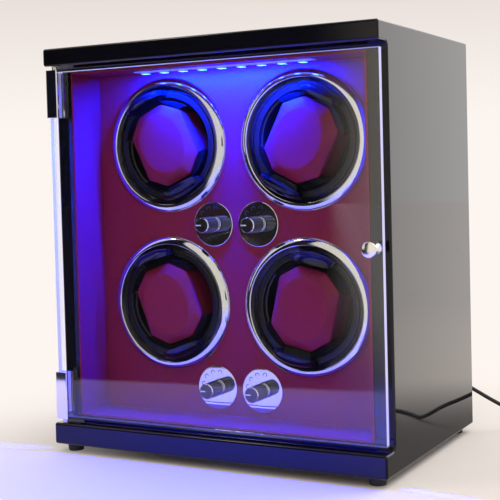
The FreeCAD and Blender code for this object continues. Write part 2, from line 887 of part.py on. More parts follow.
def hinge_pin(clip_end, strip_face):
    """A pin with a collar in the gap between clip and strip; one end is riveted in the clip's cap."""
    way = 1 if strip_face > clip_end else -1
    low, high = sorted((clip_end, strip_face - way * soft_gap))
    collar = post(hinge_x, hinge_y, low, high, pin_collar_radius)
    low, high = sorted((clip_end - way * clip_cap, strip_face + way * pin_depth))
    return joined(collar, post(hinge_x, hinge_y, low, high, pin_radius))


def make_door():
    """The glass, the clips and pins that it swings on, and its pull knob."""
    glass = block(glass_left, glass_right, glass_front, glass_back, glass_bottom, glass_top)
    glass = glass.makeChamfer(glass_bevel, glass.Edges)
    hole = pull_screw_radius + swing_gap
    save("door_glass", glass.cut(rod(pull_x, pull_height, glass_front, glass_back, hole)))

    upper = (glass_top + fit_gap + clip_cap - clip_height, glass_top + fit_gap + clip_cap)
    lower = (glass_bottom - fit_gap - clip_cap, glass_bottom - fit_gap - clip_cap + clip_height)
    clips = [hinge_clip(*upper, True), hinge_clip(*lower, False)]
    plate_y = glass_back + fit_gap
    screws = []
    for i, (z0, z1) in enumerate((upper, lower)):
        for side in (-1, 1):
            z = (z0 + z1) / 2 + side * clip_screw_pitch / 2
            outer = plate_y + clip_plate
            clips[i] = clips[i].cut(rod(hinge_x, z, plate_y, outer, clip_screw_radius + fit_gap))
            head = rod(hinge_x, z, outer, outer + clip_screw_head_height, clip_screw_head_radius)
            screws.append(joined(head, rod(hinge_x, z, glass_back, outer, clip_screw_radius)))
    save("hinge_clips", *clips)
    save("clip_screws", *screws)
    save("hinge_pins", hinge_pin(upper[1], recess_top), hinge_pin(lower[0], recess_bottom))
    faces = (recess_top, recess_bottom)
    spans = hinge_bush_spans()
    save("hinge_bushes", *[hinge_bush(*span, face) for span, face in zip(spans, faces)])

    waist = -pull_length * pull_waist_share
    rim = pull_rim_height - pull_length
    wire = outline(
        (0, 0),
        (pull_base_radius, 0),
        (pull_base_radius, -pull_base_height),
        ((pull_waist_radius, waist), (pull_face_radius, rim)),
        (pull_face_radius, pull_face_bevel - pull_length),
        (pull_face_radius - pull_face_bevel, -pull_length),
        (0, -pull_length),
    )
    bite = rod(0, 0, -pull_screw_bite - fit_gap, 0, pull_screw_radius + fit_gap)
    pull = turned(wire).cut(bite)
    pull.translate(Vector(pull_x, glass_front, pull_height))
    save("door_knob", pull)
    head = rod(pull_x, pull_height, glass_back, glass_back + pull_screw_head_height, pull_screw_head_radius)
    shank = rod(pull_x, pull_height, glass_front - pull_screw_bite, glass_back, pull_screw_radius)
    save("door_knob_screw", joined(head, shank))


def make_power_socket():
    """A barrel socket held behind the rear panel, flush with its face."""
    inside = rear_y - rear_thickness
    body = slab(Vector(jack_x, inside - jack_body[1] / 2, jack_z), Vector(*jack_body))
    jack = joined(body, rod(jack_x, jack_z, inside, rear_y, jack_radius))
    jack = jack.cut(rod(jack_x, jack_z, rear_y - jack_bore_depth, rear_y, jack_bore_radius))
    pin = rod(jack_x, jack_z, rear_y - jack_bore_depth, rear_y - fit_gap, jack_pin_radius)
    save("power_socket", joined(jack, pin))


def make_plug():
    """An angled plug: a barrel in the socket, a moulded body, and a tapered relief where the lead leaves."""
    exit_point = Vector(*cord_points[0])
    middle_y = exit_point.y
    middle = Vector(jack_x - plug_body_overhang + plug_body_length / 2, middle_y, exit_point.z)
    body = slab(middle, Vector(plug_body_length, plug_body_depth, plug_body_height))
    body = body.makeFillet(plug_edge_radius, body.Edges)
    neck = rod(jack_x, jack_z, rear_y + fit_gap, middle_y, plug_neck_radius)
    barrel = rod(jack_x, jack_z, rear_y - plug_barrel_length, middle_y, plug_barrel_radius)
    hollow = rod(jack_x, jack_z, rear_y - plug_barrel_length, rear_y, plug_barrel_bore)
    relief = Part.makeCone(
        relief_root_radius,
        cord_radius * relief_tip_share,
        exit_point.x - jack_x,
        Vector(jack_x, middle_y, exit_point.z),
        X_AXIS,
    )
    save("dc_plug", joined(body, neck, barrel, relief).cut(hollow))


def tube(wire, start, direction):
    """The lead's round section carried along a path."""
    circle = Part.Wire(Part.makeCircle(cord_radius, start, direction))
    solid = wire.makePipeShell([circle], True, False)
    length = sum(e.Length for e in wire.Edges)
    share = solid.Volume / (math.pi * cord_radius**2 * length)
    print(f"lead stretch: {length:.1f} mm long, volume {share:.4f} of section times length")
    return solid


def cord_run_path():
    """Straight runs joined by arcs that are as large as the shorter run beside each point allows."""
    points = [Vector(*p) for p in cord_points]
    edges = []
    here = points[0]
    for before, corner, after in zip(points, points[1:], points[2:]):
        back = before - corner
        ahead = after - corner
        reach = bend_reach_share * min(back.Length, ahead.Length)
        back.normalize()
        ahead.normalize()
        half = back.getAngle(ahead) / 2
        radius = reach * math.tan(half)
        inward = back + ahead
        inward.normalize()
        start = corner + back * reach
        stop = corner + ahead * reach
        middle = corner + inward * (radius / math.sin(half) - radius)
        print(f"lead bend: radius {radius:.1f} mm")
        edges.append(Part.makeLine(here, start))
        edges.append(Part.Arc(start, middle, stop).toShape())
        here = stop
    edges.append(Part.makeLine(here, points[-1]))
    return Part.Wire(edges)


def biarc(start, leaving, stop, arriving):
    """Two arcs that leave start and arrive at stop along the given directions, and meet smoothly."""
    span = stop - start
    turn = leaving + arriving
    a = turn * turn - 4
    b = -2 * (span * turn)
    c = span * span
    if abs(a) < 1e-9:
        reach = -c / b
    else:
        reach = (-b - math.sqrt(b * b - 4 * a * c)) / (2 * a)
    meeting = (start + leaving * reach + stop - arriving * reach) * 0.5
    arcs = []
    first = (start, start + leaving * reach, meeting)
    second = (meeting, stop - arriving * reach, stop)
    for p, corner, q in (first, second):
        half = (p - corner).getAngle(q - corner) / 2
        inward = (p - corner) + (q - corner)
        inward.normalize()
        away = (p - corner).Length * (1 / math.cos(half) - math.tan(half))
        arcs.append(Part.Arc(p, corner + inward * away, q))
    return arcs


def coil_stations():
    """Points half a turn apart: in along the lower layer, up a layer, and out again along the upper one."""
    pitch = 2 * cord_radius + coil_turn_gap
    low = cord_points[-1][2]
    stations = []
    radius = coil_first_radius
    for k in range(coil_inner_half_turns + coil_outer_half_turns + 2):
        side = 1 if k % 2 == 0 else -1
        height = low if k <= coil_inner_half_turns else low + pitch
        place = Vector(coil_middle[0] + side * radius, coil_middle[1], height)
        stations.append((place, Vector(0, -side, 0)))
        if k <= coil_inner_half_turns:
            radius -= pitch / 2
        elif k == coil_inner_half_turns + 1:
            radius += pitch
        else:
            radius += pitch / 2
    return stations


def coil_gap(arcs):
    """The least clear distance between two turns, measured on points along the coil."""
    points = []
    along = 0.0
    steps = 12
    for arc in arcs:
        shape = arc.toShape()
        places = shape.discretize(steps + 1)[:-1]
        points += [(along + shape.Length * i / steps, p) for i, p in enumerate(places)]
        along += shape.Length
    apart = math.pi * cord_radius * 2
    least = min((p - q).Length for i, (s, p) in enumerate(points) for t, q in points[:i] if s - t > apart)
    return least - 2 * cord_radius


def make_cord():
    """The lead's free stretch, its coil with the tail to the far plug, the tie and the far plug."""
    points = [Vector(*p) for p in cord_points]
    save("cord_run", tube(cord_run_path(), points[0], points[1] - points[0]))

    stations = coil_stations()
    arcs = []
    for (p, leaving), (q, arriving) in zip(stations, stations[1:]):
        arcs += biarc(p, leaving, q, arriving)
    print(f"coil: least gap between turns {coil_gap(arcs):.2f} mm")
    last, heading = stations[-1]
    plug_face = last + heading * tail_length
    plug_face.z = far_plug_height / 2 + fit_gap
    straight = heading * (2 * cord_radius)
    arcs += biarc(last, heading, plug_face - straight, heading)
    edges = [Part.makeLine(points[-1], stations[0][0])]
    edges += [arc.toShape() for arc in arcs]
    edges.append(Part.makeLine(plug_face - straight, plug_face))
    save("cord_coil", tube(Part.Wire(edges), points[-1], heading))

    pitch = 2 * cord_radius + coil_turn_gap
    left_side = [coil_middle[0] - p.x for p, _ in stations if p.x < coil_middle[0]]
    outer = max(left_side) + cord_radius + tie_gap
    inner = min(left_side) - cord_radius - tie_inner_gap
    low = points[-1].z - cord_radius - tie_gap
    high = points[-1].z + pitch + cord_radius + tie_gap
    left = coil_middle[0] - outer
    right = coil_middle[0] - inner
    middle = Vector((left + right) / 2, coil_middle[1], (low + high) / 2)
    inside = Vector(right - left, tie_width, high - low)
    band = slab(middle, inside + Vector(2 * tie_thickness, 0, 2 * tie_thickness))
    save("cord_tie", band.cut(slab(middle, inside)))

    save("far_plug", far_plug(plug_face, heading))


def far_plug(face, heading):
    """A moulded grip and the flat metal shell of the plug, hollow over its contact tongue."""
    mould_size = Vector(far_plug_width, far_plug_length, far_plug_height)
    mould = slab(face + heading * (far_plug_length / 2), mould_size)
    mould = mould.makeFillet(far_plug_edge_radius, mould.Edges)
    shell_size = Vector(far_shell_width, far_plug_length + far_shell_length, far_shell_height)
    shell = slab(face + heading * ((far_plug_length + far_shell_length) / 2), shell_size)
    shell = shell.common(slab(face + heading * (far_plug_length + far_shell_length), shell_size))
    wall = far_shell_wall
    mouth_size = Vector(far_shell_width - 2 * wall, far_shell_length, far_shell_height / 2 - wall)
    mouth = face + heading * (far_plug_length + far_shell_length / 2) - Z_AXIS * (mouth_size.z / 2)
    return joined(mould, shell.cut(slab(mouth, mouth_size)))


os.makedirs("parts", exist_ok=True)
make_cabinet()
make_lining()
make_fascia()
make_rotors()
make_drive()
make_dials()
make_door()
make_power_socket()
make_plug()
make_cord()
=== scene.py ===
import bmesh
import bpy
import math
import mathutils
import numpy as np
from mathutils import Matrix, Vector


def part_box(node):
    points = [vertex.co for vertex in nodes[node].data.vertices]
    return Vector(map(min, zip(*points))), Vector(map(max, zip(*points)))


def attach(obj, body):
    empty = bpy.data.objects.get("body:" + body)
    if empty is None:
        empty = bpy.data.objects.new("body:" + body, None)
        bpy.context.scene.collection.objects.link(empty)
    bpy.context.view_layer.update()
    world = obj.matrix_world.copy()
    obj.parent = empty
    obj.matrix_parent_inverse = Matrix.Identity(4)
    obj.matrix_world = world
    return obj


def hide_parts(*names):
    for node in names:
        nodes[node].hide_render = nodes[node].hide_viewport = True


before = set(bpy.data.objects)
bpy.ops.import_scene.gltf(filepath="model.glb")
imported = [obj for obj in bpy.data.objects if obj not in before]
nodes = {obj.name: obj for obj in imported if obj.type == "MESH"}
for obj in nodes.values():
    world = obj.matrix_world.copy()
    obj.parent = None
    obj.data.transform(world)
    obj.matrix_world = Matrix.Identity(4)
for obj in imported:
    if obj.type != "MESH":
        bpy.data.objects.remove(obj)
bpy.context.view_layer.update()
mm = 0.001

# Cabinet boards: fibreboard cut to size and glued, sprayed black and polished to a deep gloss.
# The lacquer keeps a faint ripple from the spray gun, and its polish is a little uneven.


class Value:
    """One output of a node. Arithmetic on it adds Math nodes to its graph."""

    def __init__(self, graph, socket):
        self.graph = graph
        self.socket = socket

    def math(self, operation, first, second):
        return self.graph.add("ShaderNodeMath", {"operation": operation}, {0: first, 1: second})

    def __add__(self, other):
        return self.math("ADD", self, other)

    def __radd__(self, other):
        return self.math("ADD", other, self)

    def __sub__(self, other):
        return self.math("SUBTRACT", self, other)

    def __rsub__(self, other):
        return self.math("SUBTRACT", other, self)

    def __mul__(self, other):
        return self.math("MULTIPLY", self, other)

    def __rmul__(self, other):
        return self.math("MULTIPLY", other, self)

    def __pow__(self, other):
        return self.math("POWER", self, other)

    def __lt__(self, other):
        return self.math("LESS_THAN", self, other)


class Graph:
    """The nodes of one material or of the world."""

    def __init__(self, owner):
        owner.use_nodes = True
        self.owner = owner
        self.nodes = owner.node_tree.nodes
        self.links = owner.node_tree.links
        self.nodes.clear()

    def add(self, kind, settings=None, sockets=None, output=0):
        """A new node: its settings are set first, then each socket gets its value or its link."""
        node = self.nodes.new(kind)
        for name, setting in (settings or {}).items():
            setattr(node, name, setting)
        for key, given in (sockets or {}).items():
            if isinstance(given, Value):
                self.links.new(given.socket, node.inputs[key])
            else:
                node.inputs[key].default_value = given
        return Value(self, node.outputs[output]) if len(node.outputs) else None

    def places(self):
        """Object coordinates, which are metres in the part's own frame."""
        return self.add("ShaderNodeTexCoord", output="Object")

    def axis(self, name, vector=None):
        """One coordinate of a vector, or of the Object coordinates."""
        return self.add("ShaderNodeSeparateXYZ", None, {0: vector or self.places()}, name)

    def facing(self):
        """0 where a surface is seen square on, rising to 1 where it is seen edge on."""
        return self.add("ShaderNodeLayerWeight", None, {"Blend": 0.5}, "Facing")

    def noise(self, scale, detail=2.0):
        sockets = {"Vector": self.places(), "Scale": scale, "Detail": detail}
        return self.add("ShaderNodeTexNoise", None, sockets)

    def cells(self, scale):
        """Distance from the nearest cell wall, for grain."""
        settings = {"feature": "DISTANCE_TO_EDGE"}
        return self.add("ShaderNodeTexVoronoi", settings, {"Vector": self.places(), "Scale": scale})

    def blend(self, share, first, second):
        """From the first colour to the second by share."""
        return self.add("ShaderNodeMix", {"data_type": "RGBA"}, {0: share, 6: first, 7: second}, 2)

    def bump(self, height, depth):
        return self.add("ShaderNodeBump", None, {"Height": height, "Distance": depth})

    def surface(self, sockets):
        """Closes the graph with a Principled shader and gives the material."""
        shader = self.add("ShaderNodeBsdfPrincipled", None, sockets)
        self.add("ShaderNodeOutputMaterial", None, {"Surface": shader})
        return self.owner


def ramp(value, low, high):
    """0 below low, 1 above high, smooth between."""
    settings = {"interpolation_type": "SMOOTHSTEP"}
    return value.graph.add("ShaderNodeMapRange", settings, {0: value, 1: low, 2: high})


def black_lacquer():
    """A thin clear coat over black: it gleams most where it is seen at a low angle."""
    g = Graph(bpy.data.materials.new("black_lacquer"))
    polish = g.noise(11.0, 4.0)
    ripple = g.noise(190.0)
    return g.surface(
        {
            "Base Color": g.blend(polish, (0.003, 0.003, 0.004, 1), (0.006, 0.006, 0.008, 1)),
            "Roughness": 0.02 + 0.05 * polish,
            "Normal": g.bump(ripple, 0.01 * mm),
            "Specular IOR Level": 0.3,
            "Coat Weight": ramp(g.facing(), 0.3, 0.68),
            "Coat Roughness": 0.015,
        }
    )


def paint(material, *names):
    """Gives CAD nodes that are shown as they are a material of their own."""
    for name in names:
        for place in nodes[name].material_slots:
            place.material = material


def dress(piece, body, slot, material, *replaced):
    """A new piece's material, the body it rides on and the nodes it stands for."""
    piece.data.materials.clear()
    piece.data.materials.append(material)
    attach(piece, body)
    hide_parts(*replaced)
    return piece


def show(name, mesh, crease, easing=0.0):
    """A new object whose mesh is smooth except along edges sharper than crease, in degrees, with its
    large faces flat. Where easing is given, a bevel of that width takes the sharpness off its edges."""
    mesh.shade_smooth()
    mesh.set_sharp_from_angle(angle=math.radians(crease))
    piece = bpy.data.objects.new(name, mesh)
    bpy.context.scene.collection.objects.link(piece)
    if easing:
        bevel = piece.modifiers.new("eased", "BEVEL")
        bevel.width = easing
        bevel.segments = 2
        bevel.limit_method = "ANGLE"
        bevel.angle_limit = math.radians(crease)
    flats = piece.modifiers.new("flats", "WEIGHTED_NORMAL")
    flats.keep_sharp = True
    return piece


def smoothed(node, body, slot, material, easing=0.0):
    """A CAD node's own shape with its triangles welded, shaded smooth over its round faces."""
    mesh = nodes[node].data.copy()
    built = bmesh.new()
    built.from_mesh(mesh)
    bmesh.ops.remove_doubles(built, verts=built.verts, dist=0.001 * mm)
    bmesh.ops.dissolve_limit(built, angle_limit=math.radians(0.5), verts=built.verts, edges=built.edges)
    built.to_mesh(mesh)
    built.free()
    return dress(show(f"{node}_shown", mesh, 28.0, easing), body, slot, material, node)


def eased_front(node, width):
    """A board whose front edges, those with both ends on its front face, are rubbed to a small round."""
    piece = smoothed(node, "cabinet", "lacquer", lacquer)
    mesh = piece.data
    ends = np.zeros(2 * len(mesh.edges), int)
    mesh.edges.foreach_get("vertices", ends)
    points = np.zeros(3 * len(mesh.vertices))
    mesh.vertices.foreach_get("co", points)
    depths = points.reshape(-1, 3)[:, 1]
    at_front = (depths[ends.reshape(-1, 2)] < depths.min() + 0.1 * mm).all(axis=1)
    weights = mesh.attributes.new("bevel_weight_edge", "FLOAT", "EDGE")
    weights.data.foreach_set("value", at_front.astype(float))
    bevel = piece.modifiers.new("rubbed", "BEVEL")
    bevel.width = width
    bevel.segments = 4
    bevel.limit_method = "WEIGHT"
    piece.modifiers.move(1, 0)


lacquer = black_lacquer()
paint(lacquer, "left_side_panel", "right_side_panel")
eased_front("top_panel", 1.2 * mm)
eased_front("base_panel", 1.6 * mm)

# Rear panel and its screws: a thin matt black board let into a rebate, held by countersunk steel screws.
# The board shows the fine tooth of its sprayed face, and the screws a satin plating.


def matt_black(name, colour, rough, tooth, depth):
    """Black plastic, rubber or sprayed board: a fine noise gives the surface its tooth, and a coarse one
    its handling marks."""
    g = Graph(bpy.data.materials.new(name))
    handling = g.noise(24.0, 3.0)
    lighter = tuple(1.6 * c for c in colour)
    return g.surface(
        {
            "Base Color": g.blend(handling, (*colour, 1), (*lighter, 1)),
            "Roughness": rough + 0.1 * handling,
            "Normal": g.bump(g.noise(tooth), depth),
        }
    )


def bright_metal(name, colour, rough):
    """Polished or plated metal: smudges from handling lift its roughness a little."""
    g = Graph(bpy.data.materials.new(name))
    smudge = g.noise(45.0, 3.0)
    darker = tuple(0.94 * c for c in colour)
    return g.surface(
        {
            "Base Color": g.blend(smudge, (*colour, 1), (*darker, 1)),
            "Roughness": rough + 0.05 * smudge,
            "Metallic": 1.0,
        }
    )


board_black = matt_black("sprayed_board", (0.02, 0.02, 0.022), 0.5, 900.0, 0.05 * mm)
plated_steel = bright_metal("plated_steel", (0.55, 0.55, 0.57), 0.22)
paint(board_black, "rear_panel", "motor_board")
smoothed("rear_panel_screws", "cabinet", "steel", plated_steel)

# Feet: four short round stands of black moulded rubber, each pressed into the base by its stem.
# They are slightly tapered, and their edges are eased.

foot_rubber = matt_black("foot_rubber", (0.012, 0.012, 0.013), 0.55, 1200.0, 0.04 * mm)
smoothed("feet", "cabinet", "foot", foot_rubber, 0.4 * mm)

# Lining and fascia: thin boards covered in wine red leathercloth with a fine pebbled grain.
# The cover is glued flat and wrapped over the front edges, and its dye is a little uneven.


def wine_leather(name, grain, depth):
    """Leathercloth: cells of the given scale press the grain in, and soft patches vary its dye and polish."""
    g = Graph(bpy.data.materials.new(name))
    patches = g.noise(30.0, 4.0)
    pebbles = g.cells(grain)
    dyed = g.blend(patches, (0.33, 0.02, 0.05, 1), (0.42, 0.03, 0.07, 1))
    return g.surface(
        {
            "Base Color": g.blend(pebbles * 1.6, (0.22, 0.012, 0.032, 1), dyed),
            "Roughness": 0.36 + 0.14 * patches,
            "Normal": g.bump(pebbles, depth),
            "Specular IOR Level": 0.22,
        }
    )


lining_cover = wine_leather("lining_cover", 900.0, 0.12 * mm)
paint(lining_cover, "liner_top", "liner_bottom", "liner_sides", "fascia_board")

# Light strip: a white flexible strip stuck under the ceiling, with nine square lamps along it.
# The lamps burn a strong blue from their lower faces, which colours everything below them.

# The film's faint blue emission is a painted glow: the film is no lamp, and the glow stands for the light its
# lamps throw on it.
strip_graph = Graph(bpy.data.materials.new("strip_film_painted_glow"))
strip_white = strip_graph.blend(strip_graph.noise(300.0), (0.7, 0.7, 0.72, 1), (0.8, 0.8, 0.82, 1))
strip_film_painted_glow = strip_graph.surface(
    {
        "Base Color": strip_white,
        "Roughness": 0.45,
        "Emission Color": (0.01, 0.05, 1.0, 1),
        "Emission Strength": 0.6,
    }
)
strip_low, strip_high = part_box("light_chips")
chip_graph = Graph(bpy.data.materials.new("blue_lamp"))
chip_side = ramp(chip_graph.axis("Z"), strip_low[2] + 0.02 * mm, strip_low[2] + 0.12 * mm)
chip_glow = chip_graph.blend(chip_graph.cells(420.0), (0.01, 0.04, 1.0, 1), (0.02, 0.06, 1.0, 1))
blue_lamp = chip_graph.surface(
    {
        "Base Color": (0.5, 0.6, 1.0, 1),
        "Roughness": 0.3,
        "Emission Color": chip_graph.blend(chip_side, chip_glow, (0.0004, 0.0024, 0.02, 1)),
        "Emission Strength": 50.0,
    }
)
paint(strip_film_painted_glow, "light_strip")
paint(blue_lamp, "light_chips")

strip_light = bpy.data.lights.new("strip_light", "AREA")
strip_light.shape = "RECTANGLE"
strip_light.size = strip_high[0] - strip_low[0]
strip_light.size_y = strip_high[1] - strip_low[1]
strip_light.color = (0.0, 0.014, 1.0)
strip_light.energy = 14.0
strip_lamp = bpy.data.objects.new("strip_lamp", strip_light)
strip_lamp.location = (0.0, (strip_low[1] + strip_high[1]) / 2, strip_low[2] - 0.3 * mm)
strip_lamp.rotation_euler = (math.radians(12.0), 0.0, 0.0)
strip_lamp.visible_glossy = False
bpy.context.scene.collection.objects.link(strip_lamp)

# Bezel rings: four turned brass rings, chrome plated, each pressed into its opening in the fascia.
# They dome up from the outside to a rounded inner edge, and the plating is a clear mirror.


def softened(corners, reach, closed=True, steps=4):
    """An outline with each corner rounded by a parabola whose ends lie at reach along its two sides,
    or at half a shorter side: (1 - t)^2 start + 2 t (1 - t) corner + t^2 stop."""
    corners = np.array(corners, float)
    before = np.roll(corners, 1, axis=0) - corners
    after = np.roll(corners, -1, axis=0) - corners
    back = np.linalg.norm(before, axis=1, keepdims=True)
    ahead = np.linalg.norm(after, axis=1, keepdims=True)
    room = np.minimum(reach, 0.5 * np.minimum(back, ahead))
    start = (corners + before / back * room)[:, None]
    stop = (corners + after / ahead * room)[:, None]
    t = np.linspace(0, 1, steps + 1)[None, :, None]
    curves = (1 - t) ** 2 * start + 2 * t * (1 - t) * corners[:, None] + t**2 * stop
    if closed:
        return np.vstack([curves.reshape(-1, corners.shape[1]), curves[0, :1]])
    return np.vstack([corners[:1], curves[1:-1].reshape(-1, corners.shape[1]), corners[-1:]])


def turned(profile, place, columns=144):
    """A profile of (radius, depth) pairs in millimetres, turned about the line through place that points
    to the rear: (x + r cos a, y + depth, z + r sin a)."""
    angle = np.linspace(0, 2 * np.pi, columns + 1)
    radius = profile[:, :1] * mm
    depth = profile[:, 1:2] * mm + 0 * angle
    return np.array(place) + np.stack([radius * np.cos(angle), depth, radius * np.sin(angle)], axis=-1)


def skin(name, *grids, crease=28.0):
    """One mesh through grids of points: each cell of a grid is a face. Points that meet are welded, which
    closes seams and poles, and the faces are then turned outwards."""
    ends = np.cumsum([0] + [grid.shape[0] * grid.shape[1] for grid in grids])
    faces = []
    for grid, start in zip(grids, ends):
        index = start + np.arange(grid.shape[0] * grid.shape[1]).reshape(grid.shape[:2])
        cells = [index[:-1, :-1], index[:-1, 1:], index[1:, 1:], index[1:, :-1]]
        faces.append(np.stack(cells, axis=-1).reshape(-1, 4))
    mesh = bpy.data.meshes.new(name)
    points = np.concatenate([grid.reshape(-1, 3) for grid in grids])
    mesh.from_pydata(points.tolist(), [], np.concatenate(faces).tolist())
    built = bmesh.new()
    built.from_mesh(mesh)
    bmesh.ops.remove_doubles(built, verts=built.verts, dist=0.0001 * mm)
    bmesh.ops.recalc_face_normals(built, faces=built.faces)
    built.to_mesh(mesh)
    built.free()
    return show(name, mesh, crease)


def middle(node):
    low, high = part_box(node)
    return (np.array(low) + np.array(high)) / 2


def on_fascia(node):
    """A node's middle, brought to the front of the fascia."""
    x, y, z = middle(node)
    return (x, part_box("fascia_board")[0][1], z)


rotor_places = [on_fascia(f"rotor_drum_{i}") for i in range(1, 5)]
bezel_radius = 52.1
bezel_inner = 45.2
bezel_height = 4.8
bezel_foot = 0.8
bezel_round = 0.9
spigot_wall = 0.8
spigot_depth = 3.6


def bezel_profile():
    """An arc that is level at the crest and meets the foot, of radius (run^2 + rise^2) / (2 rise), then a
    quarter round down to the inner wall, the spigot and the back."""
    crest = bezel_inner + bezel_round
    run = bezel_radius - crest
    rise = bezel_height - bezel_foot
    dome = (run**2 + rise**2) / (2 * rise)
    slope = np.linspace(math.asin(run / dome), 0, 25)
    outside = np.stack([crest + dome * np.sin(slope), dome * (1 - np.cos(slope)) - bezel_height], axis=1)
    turn = np.linspace(0, np.pi / 2, 9)[1:]
    inside = np.stack(
        [crest - bezel_round * np.sin(turn), bezel_round * (1 - np.cos(turn)) - bezel_height], axis=1
    )
    behind = [
        (bezel_inner, spigot_depth),
        (bezel_inner + spigot_wall, spigot_depth),
        (bezel_inner + spigot_wall, 0.0),
        (bezel_radius, 0.0),
        (bezel_radius, -bezel_foot),
    ]
    return np.vstack([outside, inside, behind])


chrome = bright_metal("chrome_plate", (0.84, 0.84, 0.86), 0.03)
dress(
    skin("bezel_shells", *[turned(bezel_profile(), place, 192) for place in rotor_places]),
    "cabinet",
    "chrome",
    chrome,
    "bezel_rings",
)

# Rotor collars: gloss black moulded rings that fill the gap between each bezel and its rotor.
# A flange behind the fascia holds each one, and its front edge is bevelled.

collar_inner = 41.7
collar_outer = bezel_inner - 0.1
collar_flange = 51.6
collar_corners = [
    (collar_inner, -0.5),
    (collar_outer, 0.9),
    (collar_outer, 5.0),
    (collar_flange, 5.0),
    (collar_flange, 7.0),
    (collar_inner, 7.0),
]
gloss_black = matt_black("gloss_moulding", (0.006, 0.006, 0.008), 0.05, 200.0, 0.005 * mm)
collar_profile = softened(collar_corners, 0.3)
dress(
    skin("collar_rings", *[turned(collar_profile, place, 192) for place in rotor_places]),
    "cabinet",
    "collar",
    gloss_black,
    "rotor_collars",
)

# Rotor drums: deep satin black cups with a broad flat rim and a step inside the mouth, moulded in one
# piece. A boss behind each cup is bored for the drive shaft.

drum_corners = [
    (0.0, 24.0),
    (35.0, 24.0),
    (35.0, 2.5),
    (36.5, 2.5),
    (36.5, -1.2),
    (40.7, -1.2),
    (41.3, -0.6),
    (41.3, 5.0),
    (37.4, 8.9),
    (37.4, 27.0),
    (9.0, 27.0),
    (9.0, 37.0),
    (3.05, 37.0),
    (3.05, 26.0),
    (0.0, 26.0),
]
drum_profile = softened(drum_corners, 0.6, closed=False)
drum_black = matt_black("drum_moulding", (0.005, 0.005, 0.007), 0.26, 1500.0, 0.01 * mm)
for i, place in enumerate(rotor_places, 1):
    dress(
        skin(f"drum_{i}", turned(drum_profile, place, 160)),
        f"rotor_{i}",
        "drum",
        drum_black,
        f"rotor_drum_{i}",
    )

# Watch holders: gloss black mouldings pressed into the drums, with walls round both ends of an octagonal
# seat and a raised lip across each end that keeps the watch strap in place.

holder_black = matt_black("holder_moulding", (0.003, 0.003, 0.004), 0.03, 700.0, 0.003 * mm)
rotor_angles = (-25.0, 27.0, -20.0, 13.0)
lip_half_width = 15.5
lip_inner = 34.2
lip_outer = 42.6
lip_front = 16.0
lip_shoulder = 6.7
lip_root = 1.3
lip_fall = 4.0
lip_easing = 0.3


def leaned(place, angle, across, depth, along):
    """Points across and along a rotor's own axes, turned by its angle and set at its place."""
    lean = math.radians(angle)
    x = across * math.cos(lean) + along * math.sin(lean)
    z = along * math.cos(lean) - across * math.sin(lean)
    return np.array(place) + mm * np.stack([x, depth + 0 * x, z], axis=-1)


def holder_lip(place, angle, side):
    """A quarter of an ellipse from the straight inner edge down to the outer arc, carried across the lip:
    depth = shoulder + (front - shoulder) sqrt(1 - v^2) at v of the way out, less towards the ends."""
    across = lip_half_width * np.linspace(-1, 1, 33)[:, None]
    arc = np.sqrt(lip_outer**2 - across**2)
    front = lip_front - lip_fall * (across / lip_half_width) ** 4
    v = np.sin(np.linspace(0.04, np.pi / 2, 17))[None]
    crown = lip_shoulder + (front - lip_shoulder) * np.sqrt(1 - v**2)
    reach = lip_inner + v * (arc - lip_inner)
    inner = np.full_like(arc, lip_inner)
    root = np.full_like(arc, lip_root)
    along = np.hstack([inner, inner, reach, arc, inner])
    depth = np.hstack([root, crown[:, :1] - lip_easing, crown, root, root])
    ends = [0, -1]
    along = np.insert(along, [0, len(along)], along[ends].mean(axis=1, keepdims=True), axis=0)
    depth = np.insert(depth, [0, len(depth)], depth[ends].mean(axis=1, keepdims=True), axis=0)
    across = np.insert(across, [0, len(across)], across[ends], axis=0)
    return leaned(place, angle, across + 0 * along, -depth, side * along)


for i, (place, angle) in enumerate(zip(rotor_places, rotor_angles), 1):
    smoothed(f"watch_holder_{i}", f"rotor_{i}", "holder", holder_black, 0.35 * mm)
    lips = skin(f"holder_lips_{i}", holder_lip(place, angle, 1), holder_lip(place, angle, -1))
    dress(lips, f"rotor_{i}", "holder", holder_black)

# Watch cushions: foam blocks covered in wine red leathercloth, cut to the octagon of the seat. The front
# is crowned and flat in an oval in the middle, and the sides draw in between the corners.

seat_half_width = 25.0
seat_half_length = 30.3
seat_end_half = 11.2
seat_side_half = 18.3
oval_half_width = 19.6
oval_half_length = 23.6
octagon_power = 32
octagon_waist = 0.02
# Each row of the cushion from its back to its front: share of the octagon, share of the oval, depth
cushion_rows = [
    (0.0, 0.0, 21.2),
    (0.93, 0.0, 21.2),
    (0.965, 0.0, 19.5),
    (0.945, 0.0, 8.0),
    (0.99, 0.0, -2.5),
    (1.0, 0.0, -4.6),
    (0.985, 0.0, -6.0),
    (0.86, 0.13, -6.6),
    (0.45, 0.54, -8.5),
    (0.04, 0.95, -10.0),
    (0.0, 0.9, -10.2),
    (0.0, 0.0, -10.3),
]


